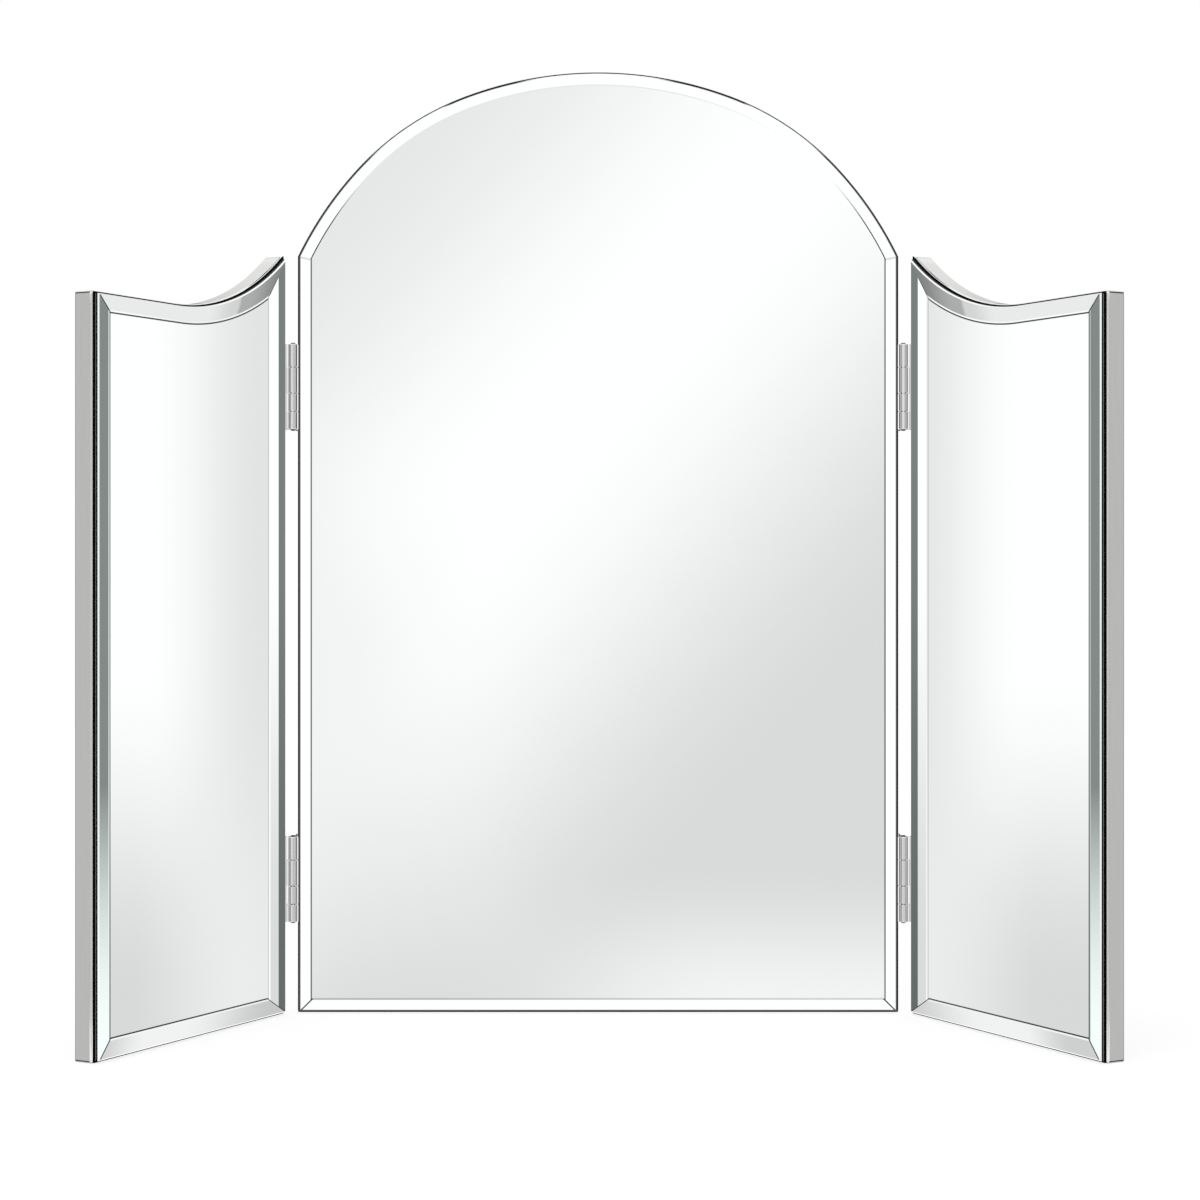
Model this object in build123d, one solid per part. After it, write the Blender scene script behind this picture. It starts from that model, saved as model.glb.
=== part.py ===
from build123d import *
import math
import os

# A triple dressing table mirror in millimetres. The mirrors face -Y and stand on z = 0.
# The origin is on the bottom face of the centre tray, halfway along its length and its depth.

# Centre panel, with the arch as tangent arcs from the crown down and the slopes where they meet
centre_width = 500.0
centre_height = 782.0
arch_radii = (316.0, 232.0, 300.0)
arch_turns = (20.5, 46.7)
centre_bevel = 10.5

# Wings, which stand turned forward from flat by wing_angle
wing_width = 249.0
wing_outer_height = 575.0
wing_hinge_height = 629.5
sweep_radius = 230.0
wing_bevel = 12.5
wing_hinge_bevel = 24.0
wing_angle = 62.3

# Tray behind each glass, open at the back
tray_depth = 16.0
tray_wall = 2.0
tray_front_round = 2.0
tray_back_round = 1.4
tray_corner = 2.5

# Bevelled glass, its silvering and the black foam sheet, sticky on both faces, that holds it on the tray
glass_thickness = 5.0
glass_lip = 3.0
glass_inset = 2.2
silvering = 0.2
tape_thickness = 1.4
tape_inset = 0.9

# Core board and back board inside the tray
board_clearance = 0.3
back_thickness = 2.5
back_recess = 0.3
back_screw_radius = 1.5
back_screw_length = 9.0
back_screw_head = 3.0
back_screw_head_height = 1.3
back_screw_head_chamfer = 0.6
back_screw_hole_reserve = 0.5
back_screw_margin = 12.0
back_screw_rows = 3

# Hinges, two on each side, with the knuckles counted from the bottom
hinge_heights = (112.0, 519.5)
knuckle_lengths = (15.0, 15.0, 21.5, 19.5)
knuckle_gap = 0.4
knuckle_round = 0.7
knuckle_chamfer = 0.25
barrel_radius = 4.5
pin_radius = 2.0
pin_running_clearance = 0.05
pin_press_clearance = 0.01
pin_dome = 0.9
leaf_thickness = 1.8
leaf_corner = 1.5
leaf_notch_clearance = 0.5
axis_ahead_of_glass = 1.7
axis_from_side = 2.6

# Countersunk screws through the hinge leaves
leaf_screw_radius = 1.5
leaf_screw_head = 3.1
leaf_screw_head_depth = 1.5
leaf_screw_length = 12.0
leaf_screw_spacing = 24.0
leaf_screw_count = 3
screw_clearance = 0.05
tray_hole_clearance = 0.2
cross_width = 0.8
cross_length = 2.8
cross_depth = 0.8

# How far a cut runs past the face that it opens
cut_reach = 1.0

# Places along the depth of a panel, counted back from the front of its glass
silver_front = glass_thickness
tape_front = silver_front + silvering
tray_front = tape_front + tape_thickness
core_front = tray_front + tray_wall
tray_back = tray_front + tray_depth
back_rear = tray_back - back_recess
back_front = back_rear - back_thickness
core_rear = back_front - board_clearance

# Places of the hinge
axis_x = centre_width / 2 + axis_from_side
centre_shift = -(tray_front + tray_depth / 2)
axis_y = centre_shift - axis_ahead_of_glass
leaf_screw_depth = tray_front + tray_depth / 2 + axis_ahead_of_glass
leaf_rear = tray_back - tray_back_round + axis_ahead_of_glass
hinge_length = sum(knuckle_lengths)

# A cross recess as two slots, and a bar that stands on z = 0
cross_slots = ((cross_width, cross_length), (cross_length, cross_width))
upright = (Align.CENTER, Align.CENTER, Align.MIN)


# Outlines on the plane of a panel, at any distance in from its edge
def arch_arcs(inset):
    """Right half of the arch from the crown down: centre, radius and end slopes of each arc."""
    starts = [0.0] + [math.radians(turn) for turn in arch_turns]
    x, z, before = 0.0, centre_height, 0.0
    arcs = []
    for radius, start in zip(arch_radii, starts):
        x += (before - radius) * math.sin(start)
        z += (before - radius) * math.cos(start)
        before = radius
        arcs.append((x, z, radius - inset, start))
    shoulder = math.asin((centre_width / 2 - inset - x) / (before - inset))
    return [arc + (end,) for arc, end in zip(arcs, starts[1:] + [shoulder])]


def on_arc(arc, slope, hand=1):
    """Point of an arc where it has this slope, on the right, or on the left for hand -1."""
    x, z, radius = arc[:3]
    return hand * (x + radius * math.sin(slope)), z + radius * math.cos(slope)


def centre_outline(inset):
    """Rectangle under an arch; the arcs stay concentric as the inset grows."""
    half = centre_width / 2 - inset
    crown, *sides = arch_arcs(inset)
    crown_end = crown[-1]
    edges = [
        Line((-half, inset), (half, inset)),
        ThreePointArc(on_arc(crown, crown_end), on_arc(crown, 0), on_arc(crown, crown_end, -1)),
    ]
    for hand in (1, -1):
        for arc in sides:
            start, end = arc[3:]
            edges.append(ThreePointArc(*[on_arc(arc, slope, hand) for slope in (start, (start + end) / 2, end)]))
        edges.append(Line(on_arc(sides[-1], sides[-1][-1], hand), (hand * half, inset)))
    return make_face(edges)


def sweep_start():
    """Distance from the hinge side to where the level top turns into the rising sweep."""
    drop = sweep_radius - (wing_hinge_height - wing_outer_height)
    return math.sqrt(sweep_radius ** 2 - drop ** 2)


def wing_outline(inset, hinge_inset=None):
    """Left wing, flat, with the hinge axis at x = 0: level top, then a sweep up to the hinge."""
    near = inset if hinge_inset is None else hinge_inset
    start = sweep_start()
    radius = sweep_radius + inset
    sweep_centre = wing_outer_height + sweep_radius
    top = wing_outer_height - inset

    def sweep_height(u):
        return sweep_centre - math.sqrt(radius ** 2 - (start - u) ** 2)

    corners = {
        "low_near": (near, inset),
        "low_far": (wing_width - inset, inset),
        "top_far": (wing_width - inset, top),
        "turn": (start, top),
        "middle": ((start + near) / 2, sweep_height((start + near) / 2)),
        "top_near": (near, sweep_height(near)),
    }
    p = {name: (-axis_from_side - u, z) for name, (u, z) in corners.items()}
    return make_face([
        Line(p["low_near"], p["low_far"]),
        Line(p["low_far"], p["top_far"]),
        Line(p["top_far"], p["turn"]),
        ThreePointArc(p["turn"], p["middle"], p["top_near"]),
        Line(p["top_near"], p["low_near"]),
    ])


def slab(face, front, rear):
    """The face as a plate between two depths behind the glass front."""
    return extrude(Plane.XZ.offset(-rear) * face, amount=rear - front)


def round_corners(face, smooth_joints):
    """The outline with its corners rounded, except where it already runs smoothly."""
    corners = face.vertices().filter_by(
        lambda v: all(abs(abs(v.X) - joint) > tray_corner for joint in smooth_joints))
    return fillet(corners, tray_corner)


# Pieces of one panel
def tray(outline, smooth_joints):
    """Pressed metal pan with rounded front and back edges, open at the back."""
    body = slab(round_corners(outline(0), smooth_joints), tray_front, tray_back)
    body = fillet(body.faces().sort_by(Axis.Y)[0].edges(), tray_front_round)
    body = fillet(body.faces().sort_by(Axis.Y)[-1].edges(), tray_back_round)
    return body - slab(outline(tray_wall), core_front, tray_back + cut_reach)


def glass(outline, ridge):
    """Plate whose front slopes from the ridge line down to a thinner lip at the edge."""
    lip_depth = glass_thickness - glass_lip
    lip = Plane.XZ.offset(-lip_depth) * outline(glass_inset)
    crest = Plane.XZ * ridge
    bevel = loft([lip, crest], ruled=True)
    return slab(outline(glass_inset), lip_depth, glass_thickness) + bevel


def back_screw_places(outline):
    """Two columns of screws close to the tray's upright sides, evenly spaced."""
    box = outline(tray_wall + back_screw_margin).bounding_box()
    highest = wing_outer_height - tray_wall - back_screw_margin
    step = (highest - box.min.Y) / (back_screw_rows - 1)
    heights = [box.min.Y + row * step for row in range(back_screw_rows)]
    return [(x, z) for x in (box.min.X, box.max.X) for z in heights]


def drill(radius, places, front, rear):
    """Round bars along the depth, for holes at the given places."""
    return [slab(Pos(x, z) * Circle(radius), front, rear) for x, z in places]


def back_screws(places):
    """Pan-headed screws with a cross recess that hold the back board to the core."""
    top = back_rear + back_screw_head_height
    made = []
    for x, z in places:
        shank = slab(Pos(x, z) * Circle(back_screw_radius), back_rear - back_screw_length, back_rear)
        head = slab(Pos(x, z) * Circle(back_screw_head), back_rear, top)
        head = chamfer(head.edges().sort_by(Axis.Y)[-1], back_screw_head_chamfer)
        cross = [slab(Pos(x, z) * Rectangle(*size), top - cross_depth, top + cut_reach) for size in cross_slots]
        made.append(shank + head - cross)
    return Compound(made)


def leaf_screw_offsets():
    """Heights of the screws of one leaf, counted from the middle of the hinge."""
    return [(index - (leaf_screw_count - 1) / 2) * leaf_screw_spacing for index in range(leaf_screw_count)]


def side_holes(radius, side, inward):
    """Holes for the leaf screws of both hinges through the upright side at x = side."""
    depth = leaf_screw_depth - axis_ahead_of_glass
    middle = side + inward * leaf_screw_length / 2
    bar = Rot(0, 90, 0) * Cylinder(radius, leaf_screw_length + 2 * tray_wall)
    return [Pos(middle, depth, height + offset) * bar
            for height in hinge_heights for offset in leaf_screw_offsets()]


def panel(outline, ridge, hinge_sides, smooth_joints):
    """Every piece of one panel, with the front of the glass on y = 0."""
    places = back_screw_places(outline)
    hole_end = back_rear - back_screw_length - back_screw_hole_reserve
    pan = tray(outline, smooth_joints)
    core = slab(outline(tray_wall + board_clearance), core_front, core_rear)
    core -= drill(back_screw_radius + screw_clearance, places, hole_end, core_rear + cut_reach)
    for side, inward in hinge_sides:
        pan -= side_holes(leaf_screw_radius + tray_hole_clearance, side, inward)
        core -= side_holes(leaf_screw_radius + screw_clearance, side, inward)
    back = slab(outline(tray_wall + board_clearance), back_front, back_rear)
    back -= drill(back_screw_radius + screw_clearance, places, back_front - cut_reach, back_rear + cut_reach)
    return {
        "tray": pan,
        "core": core,
        "tape": slab(outline(tape_inset), tape_front, tray_front),
        "silvering": slab(outline(glass_inset), silver_front, tape_front),
        "glass": glass(outline, ridge),
        "back": back,
        "back_screws": back_screws(places),
    }


# Pieces of one hinge, with its axis on x = y = 0 and its lower end on z = 0
def knuckle_spans(own):
    """Lower and upper end of each knuckle whose number from the bottom is in own."""
    spans = []
    low = 0.0
    for index, length in enumerate(knuckle_lengths):
        if index in own:
            spans.append((low + knuckle_gap / 2, low + length - knuckle_gap / 2))
        low += length
    return spans


def knuckle(low, high):
    """One turn of the barrel: rounded where it ends the hinge, with a small chamfer elsewhere."""
    barrel = Pos(0, 0, low) * Cylinder(barrel_radius, high - low, align=upright)
    ends = ((0, low < knuckle_gap), (-1, high > hinge_length - knuckle_gap))
    for place, outermost in ends:
        rim = barrel.edges().filter_by(GeomType.CIRCLE).sort_by(Axis.Z)[place]
        barrel = fillet(rim, knuckle_round) if outermost else chamfer(rim, knuckle_chamfer)
    return barrel


def leaf(own, bore):
    """Flat plate on the side face at x = axis_from_side, notched round the other knuckles."""
    inner = axis_from_side - leaf_thickness
    start = barrel_radius + leaf_notch_clearance
    plate = Pos(inner, start, 0) * Box(leaf_thickness, leaf_rear - start, hinge_length, align=Align.MIN)
    rear_edges = plate.edges().filter_by(Axis.X).sort_by(Axis.Y)[-2:]
    plate = fillet(rear_edges, leaf_corner)
    for low, high in knuckle_spans(own):
        web = Pos(inner, 0, low) * Box(leaf_thickness, start, high - low, align=Align.MIN)
        plate += knuckle(low, high) + web
    plate -= Cylinder(bore, 3 * hinge_length)
    for offset in leaf_screw_offsets():
        plate -= Pos(inner, leaf_screw_depth, hinge_length / 2 + offset) * countersink()
    return plate


def screw_profile(clearance):
    """Countersunk screw as a turned solid along +X from its head face at x = 0."""
    head = leaf_screw_head + clearance
    shank = leaf_screw_radius + clearance
    half_section = Polyline(
        (0, 0), (0, head), (leaf_screw_head_depth, shank),
        (leaf_screw_length, shank), (leaf_screw_length, 0), close=True)
    return revolve(make_face(half_section), Axis.X)


def countersink():
    """What a screw takes out of its leaf."""
    mouth = Pos(-cut_reach, 0, 0) * Rot(0, 90, 0) * Cylinder(leaf_screw_head + screw_clearance, 2 * cut_reach)
    return screw_profile(screw_clearance) + mouth


def leaf_screws():
    """The screws of one leaf on the side face at x = axis_from_side."""
    screw = screw_profile(0)
    for size in cross_slots:
        screw -= Box(2 * cross_depth, *size)
    head_face = axis_from_side - leaf_thickness
    return Compound([Pos(head_face, leaf_screw_depth, hinge_length / 2 + offset) * screw
                     for offset in leaf_screw_offsets()])


def pin():
    """Straight pin through all knuckles with a low dome at each end."""
    rod = Pos(0, 0, -pin_dome) * Cylinder(pin_radius, hinge_length + 2 * pin_dome, align=upright)
    return fillet(rod.edges().filter_by(GeomType.CIRCLE), pin_dome)


# Put the pieces in place
def at_left_axis(piece, turn):
    """A piece modelled round the axis, turned and set on the left hinge axis."""
    return Pos(-axis_x, axis_y, 0) * Rot(0, 0, turn) * piece


def both_sides(nodes, name, left_piece):
    """The left piece and its mirror image on the right."""
    nodes["left_" + name] = left_piece
    nodes["right_" + name] = mirror(left_piece, about=Plane.YZ)


def assemble():
    """Every node by name."""
    nodes = {}
    half = centre_width / 2
    centre_ridge = centre_outline(glass_inset + centre_bevel)
    arch_joints = [on_arc(arc, arc[3])[0] for arc in arch_arcs(0)[1:]]
    centre = panel(centre_outline, centre_ridge, [(-half, 1), (half, -1)], arch_joints)
    for name, piece in centre.items():
        nodes["centre_" + name] = Pos(0, centre_shift, 0) * piece

    ridge = wing_outline(glass_inset + wing_bevel, glass_inset + wing_hinge_bevel)
    wing = panel(wing_outline, ridge, [(-axis_from_side, -1)], [axis_from_side + sweep_start()])
    for name, piece in wing.items():
        both_sides(nodes, "wing_" + name, at_left_axis(Pos(0, axis_ahead_of_glass, 0) * piece, wing_angle))

    centre_knuckles = (1, 3)
    wing_knuckles = (0, 2)
    pieces = {
        "centre_leaf": leaf(centre_knuckles, pin_radius + pin_press_clearance),
        "wing_leaf": mirror(leaf(wing_knuckles, pin_radius + pin_running_clearance), about=Plane.YZ),
        "pin": pin(),
        "centre_screws": leaf_screws(),
        "wing_screws": mirror(leaf_screws(), about=Plane.YZ),
    }
    for level, height in zip(("lower", "upper"), hinge_heights):
        lift = Pos(0, 0, height - hinge_length / 2)
        for name, piece in pieces.items():
            turn = wing_angle if name.startswith("wing") else 0
            both_sides(nodes, f"{level}_hinge_{name}", at_left_axis(lift * piece, turn))
    return nodes


os.makedirs("parts", exist_ok=True)
for node, shape in assemble().items():
    export_step(shape, f"parts/{node}.step")
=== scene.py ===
import math

import bmesh
import bpy
import numpy as np
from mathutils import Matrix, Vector


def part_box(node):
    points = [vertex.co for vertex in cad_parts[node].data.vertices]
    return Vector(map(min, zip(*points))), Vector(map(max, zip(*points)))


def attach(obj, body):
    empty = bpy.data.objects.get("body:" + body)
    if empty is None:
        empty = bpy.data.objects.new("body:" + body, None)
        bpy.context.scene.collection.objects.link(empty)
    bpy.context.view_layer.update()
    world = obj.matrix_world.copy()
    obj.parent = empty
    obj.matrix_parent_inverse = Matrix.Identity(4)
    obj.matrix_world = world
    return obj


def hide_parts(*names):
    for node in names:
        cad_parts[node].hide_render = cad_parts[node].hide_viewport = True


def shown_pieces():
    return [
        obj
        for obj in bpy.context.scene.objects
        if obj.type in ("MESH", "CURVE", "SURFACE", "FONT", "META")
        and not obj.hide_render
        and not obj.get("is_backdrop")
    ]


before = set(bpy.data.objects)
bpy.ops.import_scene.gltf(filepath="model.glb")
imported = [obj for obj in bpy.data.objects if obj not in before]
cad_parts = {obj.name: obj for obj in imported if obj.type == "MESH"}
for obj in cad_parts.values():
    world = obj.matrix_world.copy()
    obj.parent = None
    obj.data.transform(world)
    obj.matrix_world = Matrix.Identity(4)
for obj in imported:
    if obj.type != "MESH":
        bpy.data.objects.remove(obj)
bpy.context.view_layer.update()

# Triple dressing table mirror, in metres. The mirrors face -Y and stand on z = 0.

# Outline of the centre panel, with the arch as tangent arcs from the crown down
centre_width = 0.500
centre_height = 0.782
arch_radii = (0.316, 0.232, 0.300)
arch_turns = (20.5, 46.7)
centre_bevel = 0.0105

# Outline of a wing, with the distance u counted from its hinge side, and its bevel on each side
wing_width = 0.249
wing_outer_height = 0.575
wing_hinge_height = 0.6295
sweep_radius = 0.230
wing_bevels = {"bottom": 0.0150, "outer": 0.0102, "top": 0.0131, "hinge": 0.0276}
wing_angle = math.radians(62.3)

# Glass: ground edge, small chamfer in front of it, bevel, and the thin strips beside the ridge. The edge band
# and the thin strips at the ridge and at the mitres carry painted reflections.
glass_thickness = 0.005
glass_lip = 0.003
glass_inset = 0.0022
arris = 0.0003
glass_chamfer = 0.001
ridge_start = 0.91
ridge_depth = 0.00006
hinge_band = 0.0120
centre_band = 0.0045
wing_line = 0.0012
centre_line = 0.0006
mitre_line = 0.0016

# Tray behind the glass
tray_front = 0.0066
tray_depth = 0.016
tray_wall = 0.002
tray_front_round = 0.002
tray_back_round = 0.0005
tray_support = 0.0003
tray_corner = 0.0025
tray_face_inset = 0.006

# Points along the outlines
straight_points = 40
arc_points = 60
sweep_points = 90
corner_points = 8
front_round_points = 9
back_round_points = 6
glass_counts = {"centre": (10, 18, 160, 18), "wing": (10, 18, 110, 24)}
tray_counts = {"centre": (12, 20, 170, 20), "wing": (12, 20, 130, 20)}
glass_sharp = math.radians(2.0)
tray_sharp = math.radians(30)

# Places of the panels
axis_ahead_of_glass = 0.0017
axis_from_side = 0.0026
axis_x = centre_width / 2 + axis_from_side
glass_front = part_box("centre_glass")[0].y
axis_y = glass_front - axis_ahead_of_glass


# Small helpers for node trees
def nodes_of(owner):
    """An empty node tree of a material, world or other owner."""
    owner.use_nodes = True
    owner.node_tree.nodes.clear()
    return owner.node_tree


def add(tree, kind, inputs=None, **settings):
    """A node with its settings, and with values or links on its inputs."""
    node = tree.nodes.new(kind)
    for name, value in settings.items():
        setattr(node, name, value)
    for name, value in (inputs or {}).items():
        if isinstance(value, bpy.types.NodeSocket):
            tree.links.new(value, node.inputs[name])
        else:
            node.inputs[name].default_value = value
    return node


def calc(tree, operation, first, second=0.0):
    """One step of arithmetic on two values."""
    return add(tree, "ShaderNodeMath", {0: first, 1: second}, operation=operation).outputs[0]


def rise(tree, value, low, high, bottom=0.0, top=1.0):
    """Smooth step from bottom to top while the value goes from low to high."""
    inputs = {"Value": value, "From Min": low, "From Max": high, "To Min": bottom, "To Max": top}
    return add(tree, "ShaderNodeMapRange", inputs, interpolation_type="SMOOTHSTEP").outputs["Result"]


def between(tree, value, low, high, top_low, top_high):
    """Rises from 0 to 1 between the first two numbers, and falls back to 0 between the last two."""
    return calc(tree, "MULTIPLY", rise(tree, value, low, high), rise(tree, value, top_high, top_low))


def left_of(tree, share, strength):
    """What a darker part leaves of the light: 1 - share * strength."""
    return calc(tree, "SUBTRACT", 1.0, calc(tree, "MULTIPLY", share, strength))


# Outlines of the panels as sides, each a run of points from corner to corner
def straight(start, end):
    """Points from start to end on a straight line."""
    share = np.linspace(0, 1, straight_points)[:, None]
    return np.array(start) + share * (np.array(end) - np.array(start))


def arch_side(inset):
    """Right half of the arch from the shoulder up: x + r sin(slope), z + r cos(slope) on each tangent arc."""
    starts = [0.0] + [math.radians(turn) for turn in arch_turns]
    x, z, before = 0.0, centre_height, 0.0
    arcs = []
    for radius, start in zip(arch_radii, starts):
        x += (before - radius) * math.sin(start)
        z += (before - radius) * math.cos(start)
        before = radius
        arcs.append((x, z, radius - inset, start))
    shoulder = math.asin((centre_width / 2 - inset - x) / (before - inset))
    runs = []
    for (x, z, radius, start), end in zip(arcs, starts[1:] + [shoulder]):
        slope = np.linspace(end, start, arc_points)
        runs.insert(0, np.stack([x + radius * np.sin(slope), z + radius * np.cos(slope)], 1))
    return np.concatenate([run[:-1] for run in runs] + [runs[-1][-1:]])


def centre_sides(inset):
    """Bottom, right side, arch and left side of the centre panel at an inset from its edge."""
    half = centre_width / 2 - inset
    right = arch_side(inset)
    arch = np.concatenate([right, right[-2::-1] * (-1, 1)])
    return [
        straight((-half, inset), (half, inset)),
        straight((half, inset), right[0]),
        arch,
        straight(arch[-1], (-half, inset)),
    ]


def wing_sides(insets):
    """Bottom, outer side, top and hinge side of a wing: u and height of straight runs.

    The top is level, then an arc: start - r sin(slope), top + r (1 - cos(slope)), up to the hinge side.
    """
    if not isinstance(insets, dict):
        insets = dict.fromkeys(wing_bevels, insets)
    drop = sweep_radius - (wing_hinge_height - wing_outer_height)
    start = math.sqrt(sweep_radius ** 2 - drop ** 2)
    radius = sweep_radius + insets["top"]
    top = wing_outer_height - insets["top"]
    far, near, low = wing_width - insets["outer"], insets["hinge"], insets["bottom"]
    slope = np.linspace(0, math.asin((start - near) / radius), sweep_points)
    sweep = np.stack([start - radius * np.sin(slope), top + radius * (1 - np.cos(slope))], 1)
    return [
        straight((near, low), (far, low)),
        straight((far, low), (far, top)),
        np.concatenate([straight((far, top), (start, top))[:-1], sweep]),
        straight(sweep[-1], (near, low)),
    ]


def walk(points, places):
    """Points at the given distances along a run of points."""
    steps = np.hypot(*np.diff(points, axis=0).T)
    way = np.concatenate([[0], np.cumsum(steps)])
    places = places(way[-1])
    return np.stack([np.interp(places, way, points[:, axis]) for axis in (0, 1)], 1)


def sharp_ring(sides, counts):
    """One closed outline with sharp corners; the first and last step of each side are narrow, for the painted
    reflection lines at the mitres.
    """
    def places(count):
        return lambda length: np.concatenate([[0], np.linspace(mitre_line, length - mitre_line, count - 1)])
    return np.concatenate([walk(side, places(count)) for side, count in zip(sides, counts)])


def rounded_ring(sides, counts, radius):
    """One closed outline whose corners are bends that touch both sides at the fillet's tangent points."""
    trims = []
    for index, side in enumerate(sides):
        before = sides[index - 1]
        arriving = before[-1] - before[-2]
        leaving = side[1] - side[0]
        turn = abs(math.atan2(arriving[0] * leaving[1] - arriving[1] * leaving[0], arriving @ leaving))
        trims.append(radius * math.tan(turn / 2))
    parts = []
    for index, (side, count) in enumerate(zip(sides, counts)):
        first, last = trims[index], trims[(index + 1) % len(sides)]
        run = walk(side, lambda length: np.linspace(first, length - last, count))
        corner = sides[(index + 1) % len(sides)]
        ahead = walk(corner, lambda length: np.array([last]))[0]
        share = np.linspace(0, 1, corner_points)[1:-1, None]
        tip = side[-1]
        bend = (1 - share) ** 2 * run[-1] + 2 * share * (1 - share) * tip + share ** 2 * ahead
        parts += [run, bend]
    return np.concatenate(parts)


# Places of the panels in the frame
def centre_place(x, depth, z):
    return np.stack([x, glass_front + depth, z], 1)


def wing_place(hand):
    """Panel coordinates to the frame: turned about the hinge axis, left for hand -1 and right for +1."""
    def place(u, depth, z):
        x = -axis_from_side - u
        y = axis_ahead_of_glass + depth
        turned_x = x * math.cos(wing_angle) - y * math.sin(wing_angle) - axis_x
        turned_y = x * math.sin(wing_angle) + y * math.cos(wing_angle) + axis_y
        return np.stack([-hand * turned_x, turned_y, z], 1)
    return place


def lofted(name, rings, depths, place, sharp, strip_slots, face_colours_with_painted_reflections=None):
    """Closed solid through outlines that follow each other: point = place(outline(step), depth of the level).

    Every strip between two outlines has a material slot, and the face colours, where given, colour every face:
    on the glass its own colour, and painted reflections on some strips.
    """
    count = len(rings[0])
    flat = np.concatenate(rings)
    points = place(flat[:, 0], np.repeat(depths, count), flat[:, 1])
    level = np.arange(len(rings) - 1)[:, None] * count
    here = np.arange(count)[None, :]
    ahead = (here + 1) % count
    quads = np.stack([level + here, level + ahead, level + count + ahead, level + count + here], -1)
    faces = [tuple(quad) for quad in quads.reshape(-1, 4).tolist()]
    faces.append(tuple(range(count)))
    faces.append(tuple(range((len(rings) - 1) * count, len(rings) * count)))
    mesh = bpy.data.meshes.new(name)
    mesh.from_pydata(points.tolist(), [], faces)
    work = bmesh.new()
    work.from_mesh(mesh)
    bmesh.ops.recalc_face_normals(work, faces=work.faces)
    work.to_mesh(mesh)
    work.free()
    slots = np.concatenate([np.repeat(strip_slots[1:-1], count), [strip_slots[0], strip_slots[-1]]])
    mesh.polygons.foreach_set("material_index", slots.astype(np.int32))
    # Face colours: the glass's own colour, and painted reflections on some of its strips
    if face_colours_with_painted_reflections:
        colour_with_painted_reflection = mesh.attributes.new("colour_with_painted_reflection", "FLOAT_COLOR", "CORNER")
        sizes = np.array([len(face.vertices) for face in mesh.polygons])
        owner = np.repeat(np.arange(len(sizes)), sizes)
        colour_with_painted_reflection.data.foreach_set("color", face_colours_with_painted_reflections(owner).astype(np.float32).ravel())
    mesh.shade_smooth()
    mesh.set_sharp_from_angle(angle=sharp)
    solid = bpy.data.objects.new(name, mesh)
    bpy.context.scene.collection.objects.link(solid)
    return solid


# Bevelled glass
# Its outlines from rear to flat: the strip that ends there, fixed inset, share of the bevel, depth
glass_levels = (
    ("rear", arris, 0.0, glass_thickness),
    ("rear arris", 0.0, 0.0, glass_thickness - arris),
    ("ground edge", 0.0, 0.0, glass_thickness - glass_lip + glass_chamfer),
    ("chamfer", glass_chamfer, 0.0, glass_thickness - glass_lip),
    ("edge band", None, None, None),
    ("bevel", 0.0, ridge_start, ridge_depth),
    ("ridge side", 0.0, 1.0, 0.0),
    ("ridge line", wing_line, 1.0, 0.0),
)


def glass_rings(sides_at, counts, bevels, band, line):
    """Outlines of the glass from its rear face to its flat: inset = fixed + share * bevel, at their depths."""
    lip_depth = glass_thickness - glass_lip
    share = (band - glass_chamfer) / (ridge_start * max(bevels) - glass_chamfer)
    rings, depths = [], []
    for name, fixed, part, depth in glass_levels:
        if name == "edge band":
            fixed, part = glass_chamfer * (1 - share), ridge_start * share
            depth = lip_depth + share * (ridge_depth - lip_depth)
        if name == "ridge line":
            fixed = line
        rings.append(sharp_ring(sides_at(fixed, part), counts))
        depths.append(depth)
    return rings, depths


def painted(counts, rules):
    """Colour of the glass face by face, its own colour or a painted reflection; each rule is (strips, side,
    step, colour), and later rules win.
    """
    strips = [level[0] for level in glass_levels[1:]]
    side = np.repeat(np.arange(len(counts)), counts)
    step = np.concatenate([np.arange(count) for count in counts])
    last = np.concatenate([np.full(count, count - 1) for count in counts])

    def face_colours_with_painted_reflections(owner):
        count = len(side)
        strip = owner // count
        here = owner % count
        found = np.tile(np.array(clear + (1.0,)), (len(owner), 1))
        for names, column, place, colour in rules:
            chosen = np.isin(strip, [strips.index(name) for name in names])
            if column is not None:
                chosen &= side[here] == column
            if place is not None:
                chosen &= step[here] == (last[here] if place == "end" else 0)
            found[chosen, :3] = colour
        return found

    return face_colours_with_painted_reflections


# Colours of the glass: its own clear colour, and painted reflections for the dark, grey and faint lines, the
# green outer bevels and the dark band beside the hinges
clear = (0.93, 0.945, 0.94)
painted_dark_line_reflection = (0.06, 0.07, 0.068)
painted_grey_line_reflection = (0.66, 0.68, 0.675)
painted_faint_line_reflection = (0.80, 0.82, 0.81)
painted_green_bevel_reflection = (0.86, 0.95, 0.925)
painted_hinge_band_reflection = (0.150, 0.172, 0.165)

# Sides of an outline, strips of the sloping part of the glass, and its material slots from rear to flat
bottom, outer, top, hinge = 0, 1, 2, 3
right, left = 1, 3
sloping = ("edge band", "bevel", "ridge side")
mirror_slot, edge_slot, paint_slot = 0, 1, 2
glass_slots = np.array([paint_slot, mirror_slot, edge_slot] + [mirror_slot] * 6)


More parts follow.
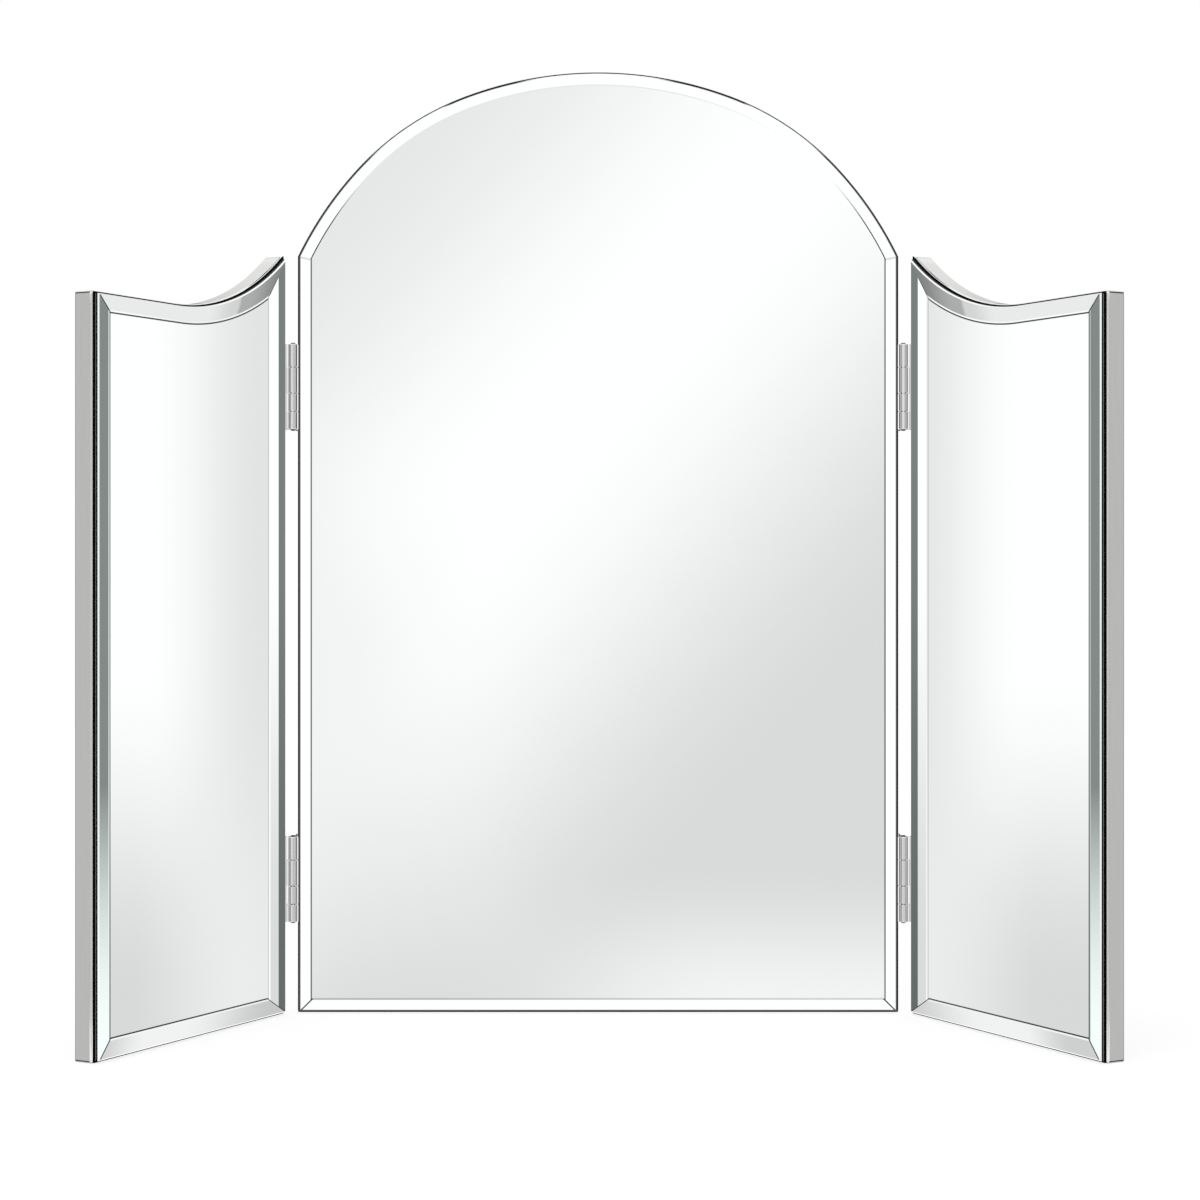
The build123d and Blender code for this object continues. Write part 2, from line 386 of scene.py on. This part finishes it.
def centre_glass():
    """The arched mirror: its ridge is almost unseen. Painted reflections: a thin dark line on the lower
    mitres, grey lines where the sides meet the arch and along the bottom ridge, and faint lines along the side
    ridges.
    """
    counts = glass_counts["centre"]

    def sides(fixed, share):
        return centre_sides(glass_inset + fixed + share * centre_bevel)

    rings, depths = glass_rings(sides, counts, (centre_bevel,), centre_band, centre_line)
    # Painted reflections on the ridge lines and the mitres
    rules = [
        (("ridge line",), bottom, None, painted_grey_line_reflection),
        (("ridge line",), right, None, painted_faint_line_reflection),
        (("ridge line",), left, None, painted_faint_line_reflection),
        (sloping, bottom, "start", painted_dark_line_reflection),
        (sloping, bottom, "end", painted_dark_line_reflection),
        (sloping, left, "start", painted_grey_line_reflection),
        (sloping, right, "end", painted_grey_line_reflection),
    ]
    face_colours_with_painted_reflections = painted(counts, rules)
    return lofted("centre_mirror", rings, depths, centre_place, glass_sharp, glass_slots, face_colours_with_painted_reflections)


def wing_glass(name, hand):
    """A wing's mirror with painted reflections: dark ridge and mitre lines, a grey ridge line on the hinge
    side, green outer bevels, and a dark band along the edge beside the hinges.
    """
    counts = glass_counts["wing"]

    def sides(fixed, share):
        return wing_sides({side: glass_inset + fixed + share * width for side, width in wing_bevels.items()})

    rings, depths = glass_rings(sides, counts, wing_bevels.values(), hinge_band, wing_line)
    # Painted reflections on the ridge lines, mitres, outer bevels and the band beside the hinges
    rules = [
        (("ridge line",), None, None, painted_dark_line_reflection),
        (("ridge line",), hinge, None, painted_grey_line_reflection),
        (sloping, outer, None, painted_green_bevel_reflection),
        (("edge band",), hinge, None, painted_hinge_band_reflection),
        (sloping, bottom, "start", painted_dark_line_reflection),
        (sloping, bottom, "end", painted_dark_line_reflection),
        (sloping, top, "start", painted_dark_line_reflection),
        (("bevel", "ridge side"), top, "end", painted_dark_line_reflection),
    ]
    face_colours_with_painted_reflections = painted(counts, rules)
    return lofted(name, rings, depths, wing_place(hand), glass_sharp, glass_slots, face_colours_with_painted_reflections)


# Trays
satin_slot, polished_slot = 0, 1


def tray_profile():
    """(inset, depth, slot) of the outlines round a tray, from its front face over the rim to its floor."""
    back = tray_front + tray_depth
    line = [(tray_face_inset, tray_front, satin_slot)]
    for share in np.linspace(0, 1, front_round_points):
        bend = share * math.pi / 2
        inset = tray_front_round * (1 - math.sin(bend))
        line.append((inset, tray_front + tray_front_round * (1 - math.cos(bend)), polished_slot))
    front_end, back_start = line[-1][1], back - tray_back_round
    side = (front_end + tray_support, back_start - tray_support, back_start)
    line += [(0.0, depth, satin_slot) for depth in side]
    for share in np.linspace(0, 1, back_round_points)[1:]:
        bend = share * math.pi / 2
        inset = tray_back_round * (1 - math.cos(bend))
        line.append((inset, back - tray_back_round * (1 - math.sin(bend)), polished_slot))
    line += [(tray_wall, back, satin_slot), (tray_wall, tray_front + tray_wall, satin_slot)]
    return line


def tray(name, sides_at, counts, place):
    """Pressed metal pan with satin sides and polished rounded edges."""
    profile = tray_profile()
    insets = [inset for inset, _, _ in profile]
    rings = [rounded_ring(sides_at(inset), counts, max(tray_corner - inset, arris)) for inset in insets]
    slots = [satin_slot] + [slot for _, _, slot in profile[1:]] + [satin_slot]
    return lofted(name, rings, [depth for _, depth, _ in profile], place, tray_sharp, slots)


# Shared patterns
def pattern(name, build, outputs):
    """A node group that makes masks and values from the object's own coordinates."""
    group = bpy.data.node_groups.new(name, "ShaderNodeTree")
    for label in outputs:
        kind = "NodeSocketVector" if label == "Normal" else "NodeSocketFloat"
        group.interface.new_socket(name=label, in_out="OUTPUT", socket_type=kind)
    made = build(group)
    end = group.nodes.new("NodeGroupOutput")
    for label in outputs:
        group.links.new(made[label], end.inputs[label])
    return group


def noise(tree, scale, stretch=(1, 1, 1), detail=3.0):
    """Noise in object coordinates, stretched along the axes."""
    place = add(tree, "ShaderNodeTexCoord").outputs["Object"]
    spread = add(tree, "ShaderNodeMapping", {"Vector": place, "Scale": stretch})
    inputs = {"Vector": spread.outputs[0], "Scale": scale, "Detail": detail}
    return add(tree, "ShaderNodeTexNoise", inputs).outputs[0]


def brushed_lines(tree):
    """Fine upright brushing."""
    lines = noise(tree, 900.0, (1, 1, 0.02), 4.0)
    bump = add(tree, "ShaderNodeBump", {"Height": lines, "Strength": 0.02, "Distance": 0.0001})
    return {"Lines": lines, "Normal": bump.outputs[0]}


def handled_surface(tree):
    """Broad faint marks from wiping, and rare specks of dust."""
    wiped = rise(tree, noise(tree, 9.0, (1, 1, 0.6)), 0.40, 0.70)
    specks = rise(tree, noise(tree, 420.0), 0.74, 0.80)
    return {"Wiped": wiped, "Specks": specks}


def open_grain(tree):
    """Small pores and fibres of foam and board."""
    pores = noise(tree, 1400.0, detail=2.0)
    fibres = noise(tree, 260.0, (1, 1, 0.25), 5.0)
    mixed = calc(tree, "ADD", calc(tree, "MULTIPLY", pores, 0.5), calc(tree, "MULTIPLY", fibres, 0.5))
    bump = add(tree, "ShaderNodeBump", {"Height": mixed, "Strength": 0.5, "Distance": 0.0003})
    return {"Grain": mixed, "Normal": bump.outputs[0]}


brushing = pattern("brushed lines", brushed_lines, ("Lines", "Normal"))
handling = pattern("handled surface", handled_surface, ("Wiped", "Specks"))
grain = pattern("open grain", open_grain, ("Grain", "Normal"))


# Materials
wiped_share = 0.012
wiped_colour = (0.75, 0.78, 0.77)
speck_roughness = 0.25


def principled(name, inputs):
    """A material with one Principled shader, and its tree for more nodes."""
    material = bpy.data.materials.new(name)
    tree = nodes_of(material)
    shader = add(tree, "ShaderNodeBsdfPrincipled", inputs)
    output = add(tree, "ShaderNodeOutputMaterial")
    tree.links.new(shader.outputs[0], output.inputs["Surface"])
    return material, tree, shader


def use(tree, group):
    """One use of a shared pattern."""
    return add(tree, "ShaderNodeGroup", node_tree=group).outputs


def blended(tree, mask, first, second):
    """A colour that goes from first to second with the mask."""
    mix = add(tree, "ShaderNodeMix", {0: mask}, data_type="RGBA")
    ends = [socket for socket in mix.inputs if socket.type == "RGBA"]
    for socket, colour in zip(ends, (first, second)):
        if isinstance(colour, bpy.types.NodeSocket):
            tree.links.new(colour, socket)
        else:
            socket.default_value = colour + (1,)
    return [socket for socket in mix.outputs if socket.type == "RGBA"][0]


def mirror_glass():
    """Silvered glass: the strips carry their own colour and painted reflections, and wiping leaves faint
    marks.
    """
    material, tree, shader = principled("silvered bevelled glass", {"Metallic": 1.0})
    # The face colours hold the glass's own colour and the painted reflections on its strips
    colour_with_painted_reflection = add(tree, "ShaderNodeAttribute", attribute_name="colour_with_painted_reflection").outputs["Color"]
    marks = use(tree, handling)
    veil = calc(tree, "MULTIPLY", marks["Wiped"], wiped_share)
    tree.links.new(blended(tree, veil, colour_with_painted_reflection, wiped_colour), shader.inputs["Base Color"])
    tree.links.new(rise(tree, marks["Specks"], 0.0, 1.0, 0.0, speck_roughness), shader.inputs["Roughness"])
    return material


def two_tone(name, dark, light, mask_of, group, label, inputs, rough, bumped=True):
    """A Principled material whose colour and roughness follow a shared pattern."""
    material, tree, shader = principled(name, inputs)
    marks = use(tree, group)
    mask = rise(tree, marks[label], *mask_of)
    tree.links.new(blended(tree, mask, dark, light), shader.inputs["Base Color"])
    tree.links.new(rise(tree, marks[label], mask_of[0], mask_of[1], *rough), shader.inputs["Roughness"])
    if bumped:
        tree.links.new(marks["Normal"], shader.inputs["Normal"])
    return material


# Studio. The mirrors see it by direction: windows are (from, full from, full to, to) and steps are
# (low, high, level at low, level at high). Bearing is y / |x|, and to the front it is |x| / -y.
grey_window = (-0.085, -0.070, -0.010, 0.0)
grey_level = 0.22
dark_wall = (0.07, 0.09, 0.03, 0.14)
white_behind = (0.26, 0.285, 0.0, 0.86)
grey_front = (0.30, 0.36, 0.0, 0.53)
white_front = (0.45, 0.53, 0.0, 0.44)
foot_glow = (-0.03, -0.18)
foot_glow_window = (-0.12, -0.08, 0.0, 0.03)
white_above = (0.72, 0.79)

hinge_flags = (0.74, 0.80, 1.35, 1.50)
flag_heights = (0.19, 0.15)
hinge_streaks = (0.16, 0.20, 0.33, 0.38)
streak_heights = (0.24, 0.20)
gap_behind = (0.91, 0.95)
gap_heights = (0.22, 0.16)
outline_rims = (0.895, 0.910, 0.960, 0.972)
flag_depth = 0.94

wing_low = (-0.03, -0.16)
wing_inner = (0.462, 0.520, 0.545, 0.575)
wing_inner_depth, wing_inner_low = 0.235, 0.25
wing_outer = (0.30, 0.40, 0.455, 0.515)
wing_outer_depth = 0.31
wing_middle = (-0.24, -0.20, 0.20, 0.24)

beside_hinge = (0.66, 0.70, 0.80, 0.86)
beside_hinge_low = (0.02, -0.15, 0.0, 0.30)
bottom_bevel_steps = ((0.548, 0.525, 0.12, 0.38), (0.565, 0.612, 0.0, 0.32))
bottom_bevel_heights = (-0.45, -0.40, -0.30, -0.25)
sweep_bevel_steps = ((0.415, 0.33, 0.13, 0.32), (0.435, 0.425, 0.0, 0.24), (0.50, 0.44, 0.05, 0.22))
sweep_bevel_heights = (0.20, 0.25, 0.36, 0.42)
sweep_bevel_start = (0.20, 0.28)
bevels_end = (0.75, 0.66)

over_sweep = (1.3, 1.8)
over_sweep_heights = (0.12, 0.20, 0.78, 0.85)
over_sweep_depth = (0.20, 0.75, 0.38, 0.14)

slant_x, slant_z = 0.747, -0.664
right_grey_step = (-0.038, 0.10, 0.0, 0.30)
left_grey_step = (-0.058, -0.168, 0.0, 0.20)
corner_step_x = (-0.03, -0.11, 0.0, 0.11)
corner_step_z = (0.06, -0.03)
foot_lift_z = (-0.11, -0.165, 0.0, 0.20)
foot_lift_x = (-0.06, 0.06)
straight_ahead = (-0.88, -0.95)

mirror_level = 1.07
plain_level = 0.85
floor_half = 4.0
floor_colour = (0.25, 0.25, 0.25, 1)
floor_glow = 0.82
tiny = 0.001


def summed(tree, first, *others):
    """Sum of several values."""
    for other in others:
        first = calc(tree, "ADD", first, other)
    return first


def product(tree, first, *others):
    """Product of several values."""
    for other in others:
        first = calc(tree, "MULTIPLY", first, other)
    return first


def largest(tree, first, *others):
    """The largest of several values."""
    for other in others:
        first = calc(tree, "MAXIMUM", first, other)
    return first


def side_walls(tree, y, z, forward):
    """Dark side walls with a grey window for the outer bevels, and white behind, in front and above."""
    core = summed(tree, product(tree, between(tree, y, *grey_window), grey_level), rise(tree, y, *dark_wall))
    front = summed(tree, rise(tree, forward, *grey_front), rise(tree, forward, *white_front))
    walls = summed(tree, core, summed(tree, rise(tree, y, *white_behind), front))
    below = product(tree, rise(tree, z, *foot_glow), between(tree, y, *foot_glow_window))
    return largest(tree, walls, largest(tree, below, rise(tree, z, *white_above)))


def dark_flags(tree, y, upright, to_front):
    """Flags that draw the streaks in the hinges, a gap behind, and rims above and below for the outlines."""
    flags = product(tree, between(tree, to_front, *hinge_flags), rise(tree, upright, *flag_heights))
    streaks = product(tree, between(tree, to_front, *hinge_streaks), rise(tree, upright, *streak_heights))
    gap = product(tree, rise(tree, y, *gap_behind), rise(tree, upright, *gap_heights))
    rims = between(tree, upright, *outline_rims)
    return left_of(tree, largest(tree, largest(tree, flags, rims), largest(tree, streaks, gap)), flag_depth)


def wing_faces(tree, bearing, z):
    """What the flat of the wings sees: darker towards the hinges, and low down towards the outer side."""
    low = rise(tree, z, *wing_low)
    inner_side = product(tree, between(tree, bearing, *wing_inner), left_of(tree, low, wing_inner_low))
    outer_side = product(tree, low, between(tree, bearing, *wing_outer))
    shade = summed(
        tree, product(tree, inner_side, wing_inner_depth), product(tree, outer_side, wing_outer_depth))
    return left_of(tree, product(tree, shade, between(tree, z, *wing_middle)), 1.0)


def wing_edges(tree, bearing, z):
    """What the bevels of the wings see: beside the hinges, and along the bottom, the top and the sweep."""
    beside = product(tree, between(tree, bearing, *beside_hinge), rise(tree, z, *beside_hinge_low))
    low = summed(tree, *[rise(tree, bearing, *step) for step in bottom_bevel_steps])
    low = product(tree, low, between(tree, z, *bottom_bevel_heights))
    sweep = summed(tree, *[rise(tree, bearing, *step) for step in sweep_bevel_steps])
    sweep = product(
        tree, sweep, between(tree, z, *sweep_bevel_heights), rise(tree, bearing, *sweep_bevel_start))
    sides = product(tree, summed(tree, low, sweep), rise(tree, bearing, *bevels_end))
    return left_of(tree, summed(tree, beside, sides), 1.0)


def tray_tops(tree, bearing, z):
    """What the trays see above the sweep."""
    seen = product(tree, rise(tree, bearing, *over_sweep), between(tree, z, *over_sweep_heights))
    return left_of(tree, seen, rise(tree, z, *over_sweep_depth))


def centre_face(tree, x, y, z):
    """What the centre sees: a slanting bright band between two soft greys, and a paler foot on the right."""
    slant = summed(tree, product(tree, x, slant_x), product(tree, z, slant_z))
    corner = product(tree, rise(tree, x, *corner_step_x), rise(tree, z, *corner_step_z))
    left_grey = summed(tree, rise(tree, slant, *left_grey_step), corner)
    ahead = rise(tree, y, *straight_ahead)
    greys = product(tree, summed(tree, rise(tree, slant, *right_grey_step), left_grey), ahead)
    lift = product(tree, rise(tree, z, *foot_lift_z), rise(tree, x, *foot_lift_x), ahead)
    return calc(tree, "SUBTRACT", summed(tree, 1.0, lift), greys)


def studio_world():
    """White towards the camera; mirrors see soft walls around the object, the rest a plain level."""
    world = bpy.data.worlds.new("studio")
    bpy.context.scene.world = world
    tree = nodes_of(world)
    place = add(tree, "ShaderNodeTexCoord").outputs["Generated"]
    x, y, z = add(tree, "ShaderNodeSeparateXYZ", {0: place}).outputs
    across = calc(tree, "ABSOLUTE", x)
    upright = calc(tree, "ABSOLUTE", z)
    forward = product(tree, y, -1.0)
    to_front = calc(tree, "DIVIDE", across, largest(tree, forward, tiny))
    bearing = calc(tree, "DIVIDE", y, largest(tree, across, tiny))
    seen = product(
        tree, side_walls(tree, y, z, forward), dark_flags(tree, y, upright, to_front),
        wing_faces(tree, bearing, z), wing_edges(tree, bearing, z), tray_tops(tree, bearing, z),
        centre_face(tree, x, y, z), mirror_level)
    path = add(tree, "ShaderNodeLightPath").outputs
    level = add(tree, "ShaderNodeMix", {"Factor": path["Is Glossy Ray"], "A": plain_level, "B": seen})
    level = add(tree, "ShaderNodeMix", {"Factor": path["Is Camera Ray"], "A": level.outputs[0], "B": 1.0})
    back = add(tree, "ShaderNodeBackground", {"Color": (1, 1, 1, 1), "Strength": level.outputs[0]})
    output = add(tree, "ShaderNodeOutputWorld")
    tree.links.new(back.outputs[0], output.inputs["Surface"])


def studio_floor():
    """Pale floor that keeps a light shadow, and lets mirrors see the studio beyond it."""
    mesh = bpy.data.meshes.new("floor")
    size = floor_half
    corners = [(-size, -size, 0), (size, -size, 0), (size, size, 0), (-size, size, 0)]
    mesh.from_pydata(corners, [], [(0, 1, 2, 3)])
    floor = bpy.data.objects.new("floor", mesh)
    bpy.context.scene.collection.objects.link(floor)
    material = bpy.data.materials.new("pale floor")
    tree = nodes_of(material)
    path = add(tree, "ShaderNodeLightPath")
    cloth = add(tree, "ShaderNodeBsdfDiffuse", {"Color": floor_colour})
    glow_strength = product(tree, path.outputs["Is Camera Ray"], floor_glow)
    glow = add(tree, "ShaderNodeEmission", {"Strength": glow_strength})
    pale = add(tree, "ShaderNodeAddShader")
    tree.links.new(cloth.outputs[0], pale.inputs[0])
    tree.links.new(glow.outputs[0], pale.inputs[1])
    through = add(tree, "ShaderNodeBsdfTransparent")
    either = add(tree, "ShaderNodeMixShader", {0: path.outputs["Is Glossy Ray"]})
    tree.links.new(pale.outputs[0], either.inputs[1])
    tree.links.new(through.outputs[0], either.inputs[2])
    output = add(tree, "ShaderNodeOutputMaterial")
    tree.links.new(either.outputs[0], output.inputs["Surface"])
    floor.data.materials.append(material)
    floor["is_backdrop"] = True


def softbox(name, place, target, size, power):
    """A square area lamp that points at a target."""
    lamp = bpy.data.lights.new(name, "AREA")
    lamp.size = size
    lamp.energy = power
    box = bpy.data.objects.new(name, lamp)
    bpy.context.scene.collection.objects.link(box)
    box.location = place
    box.rotation_euler = (Vector(target) - Vector(place)).to_track_quat("-Z", "Y").to_euler()
    box.visible_glossy = False
    box.visible_camera = False


def photo_camera():
    """Level camera in front of the mirror, fitted to the outline in a frame of 1200 by 1200."""
    photo_size = 1200
    focal_pixels = 2555
    sensor = 36.0
    middle_right, middle_up = 14.8, -20.0
    camera = bpy.data.cameras.new("camera")
    camera.sensor_width = sensor
    camera.lens = focal_pixels / photo_size * sensor
    camera.shift_x = middle_right / photo_size
    camera.shift_y = middle_up / photo_size
    holder = bpy.data.objects.new("camera", camera)
    bpy.context.scene.collection.objects.link(holder)
    holder.location = (-0.0107, -2.1316, 0.3596)
    holder.rotation_euler = (math.radians(90), 0, 0)
    bpy.context.scene.camera = holder


# Put it together
photo_camera()
studio_world()
studio_floor()
softbox("softbox", place=(-1.0, -1.6, 2.6), target=(0, 0, 0.3), size=1.6, power=12)

mirror = mirror_glass()
ground_edge = two_tone("ground glass edge", (0.009, 0.026, 0.020), (0.013, 0.036, 0.028), (0.0, 1.0),
                       handling, "Wiped", {"Specular IOR Level": 0.08}, (0.30, 0.45), False)
rear_paint = two_tone("mirror backing paint", (0.012, 0.012, 0.013), (0.022, 0.022, 0.024), (0.3, 0.7),
                      grain, "Grain", {}, (0.45, 0.65))
satin = two_tone("satin tray metal", (0.785, 0.78, 0.765), (0.815, 0.81, 0.795), (0.3, 0.7),
                 brushing, "Lines", {"Metallic": 1.0}, (0.04, 0.07))
polished = two_tone("polished tray edge", (0.86, 0.86, 0.855), (0.90, 0.90, 0.895), (0.0, 1.0),
                    handling, "Wiped", {"Metallic": 1.0}, (0.01, 0.03), False)
chrome = two_tone("bright chrome", (0.91, 0.91, 0.915), (0.95, 0.95, 0.955), (0.0, 1.0),
                  handling, "Wiped", {"Metallic": 1.0}, (0.0, 0.015), False)
# Foam tape between tray and glass; its near-black colour is also painted shade in the gap under the glass
# edge.
black_foam_and_gap_shade = two_tone("black foam and painted gap shade", (0.0015, 0.0015, 0.0015), (0.0035, 0.0035, 0.0035), (0.3, 0.7),
                      grain, "Grain", {"Specular IOR Level": 0.03}, (0.85, 1.0))
core_board = two_tone("core board", (0.24, 0.15, 0.085), (0.36, 0.25, 0.15), (0.35, 0.65),
                      grain, "Grain", {}, (0.75, 0.9))
back_board = two_tone("painted back board", (0.018, 0.018, 0.019), (0.032, 0.032, 0.033), (0.35, 0.65),
                      grain, "Grain", {}, (0.5, 0.7))
# Blackened steel of the back screws; on the hinge pins its dark colour is painted shade in the gaps between
# the knuckles.
dark_steel_and_gap_shade = two_tone("blackened steel and painted knuckle gap shade", (0.05, 0.05, 0.052), (0.11, 0.11, 0.112), (0.3, 0.7),
                      brushing, "Lines", {"Metallic": 1.0}, (0.28, 0.45))

finishes = {
    # The near-black tape edge also paints the shade in the gap between tray and glass.
    "_tape": black_foam_and_gap_shade, "_silvering": rear_paint, "_core": core_board, "_back": back_board,
    # The dark pin paints the shade in the gaps between the hinge knuckles.
    "_leaf": chrome, "_pin": dark_steel_and_gap_shade,
    "centre_screws": chrome, "wing_screws": chrome, "back_screws": dark_steel_and_gap_shade,
}
for node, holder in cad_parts.items():
    for ending, material in finishes.items():
        if node.endswith(ending):
            holder.data.materials.clear()
            holder.data.materials.append(material)

panels = {
    "centre": (centre_glass(), tray("centre_pan", centre_sides, tray_counts["centre"], centre_place)),
    "left_wing": (wing_glass("left_wing_mirror", -1),
                  tray("left_wing_pan", wing_sides, tray_counts["wing"], wing_place(-1))),
    "right_wing": (wing_glass("right_wing_mirror", 1),
                   tray("right_wing_pan", wing_sides, tray_counts["wing"], wing_place(1))),
}
for body, (plate, pan) in panels.items():
    for material in (mirror, ground_edge, rear_paint):
        plate.data.materials.append(material)
    for material in (satin, polished):
        pan.data.materials.append(material)
    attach(plate, body)
    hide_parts(body + "_glass")
    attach(pan, body)
    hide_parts(body + "_tray")

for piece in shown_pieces():
    piece.visible_glossy = False

scene = bpy.context.scene
scene.view_settings.view_transform = "Standard"
